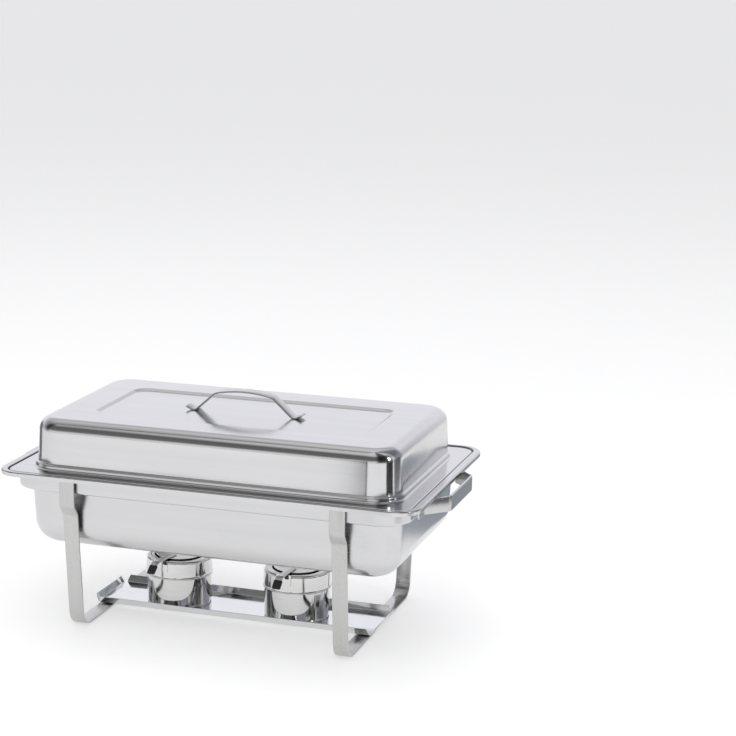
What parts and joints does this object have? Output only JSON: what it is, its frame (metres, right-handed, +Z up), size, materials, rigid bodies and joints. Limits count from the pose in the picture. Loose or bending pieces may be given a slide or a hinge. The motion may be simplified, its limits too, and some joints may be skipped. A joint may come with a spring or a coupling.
{
  "type": "chafing dish food warmer",
  "caption": "Stainless chafing dish: water pan on flat-bar leg loops, lift-out food pan, domed swing-up lid, and a sliding fuel tray with swivel-cover burners.",
  "frame": {"origin": "on the floor under the middle of the dish", "axes": "+X along the length to the right, +Y from the front to the back, +Z up"},
  "size_m": [0.583, 0.348, 0.3],
  "materials": {
    "satin_steel": "satin brushed stainless steel",
    "polished_steel": "mirror polished stainless steel",
    "black_grip": "matte black heat-resistant sleeve"
  },
  "bodies": {
    "stand": {"water_pan": "satin_steel", "left_leg_loop": "satin_steel", "right_leg_loop": "satin_steel", "left_side_handle": "satin_steel", "right_side_handle": "satin_steel", "left_lid_rail": "polished_steel", "right_lid_rail": "polished_steel"},
    "food_pan": {"food_pan": "satin_steel"},
    "lid": {"lid_shell": "satin_steel", "lid_handle": "satin_steel"},
    "fuel_tray": {"fuel_tray": "polished_steel"},
    "left_burner": {"left_burner_cup": "polished_steel"},
    "left_collar": {"left_burner_collar": "polished_steel", "left_pivot_bracket": "polished_steel", "left_pivot_rivet": "polished_steel"},
    "left_cover": {"left_cover_disc": "polished_steel", "left_cover_arm": "satin_steel", "left_arm_grip": "black_grip"},
    "right_burner": {"right_burner_cup": "polished_steel"},
    "right_collar": {"right_burner_collar": "polished_steel", "right_pivot_bracket": "polished_steel", "right_pivot_rivet": "polished_steel"},
    "right_cover": {"right_cover_disc": "polished_steel", "right_cover_arm": "satin_steel", "right_arm_grip": "black_grip"}
  },
  "joints": [
    {"name": "food_pan_lift", "type": "slide", "parent": "stand", "child": "food_pan", "axis": [0, 0, 1], "range_m": [0, 0.12]},
    {"name": "lid_swing", "type": "hinge", "parent": "food_pan", "child": "lid", "pos_m": [0, 0.167, 0.2065], "axis": [-1, 0, 0], "range_deg": [0, 92]},
    {"name": "fuel_tray_slide", "type": "slide", "parent": "stand", "child": "fuel_tray", "axis": [0, 1, 0], "range_m": [-0.05, 0.05]},
    {"name": "left_burner_lift", "type": "slide", "parent": "fuel_tray", "child": "left_burner", "axis": [0, 0, 1], "range_m": [0, 0.012]},
    {"name": "left_collar_lift", "type": "slide", "parent": "left_burner", "child": "left_collar", "axis": [0, 0, 1], "range_m": [0, 0.012]},
    {"name": "left_cover_swivel", "type": "hinge", "parent": "left_collar", "child": "left_cover", "pos_m": [-0.10287, -0.05116, 0.0705], "axis": [0, 0, 1], "range_deg": [-90, 90]},
    {"name": "right_burner_lift", "type": "slide", "parent": "fuel_tray", "child": "right_burner", "axis": [0, 0, 1], "range_m": [0, 0.012]},
    {"name": "right_collar_lift", "type": "slide", "parent": "right_burner", "child": "right_collar", "axis": [0, 0, 1], "range_m": [0, 0.012]},
    {"name": "right_cover_swivel", "type": "hinge", "parent": "right_collar", "child": "right_cover", "pos_m": [0.06944, -0.0521, 0.0705], "axis": [0, 0, 1], "range_deg": [-90, 90]}
  ]
}
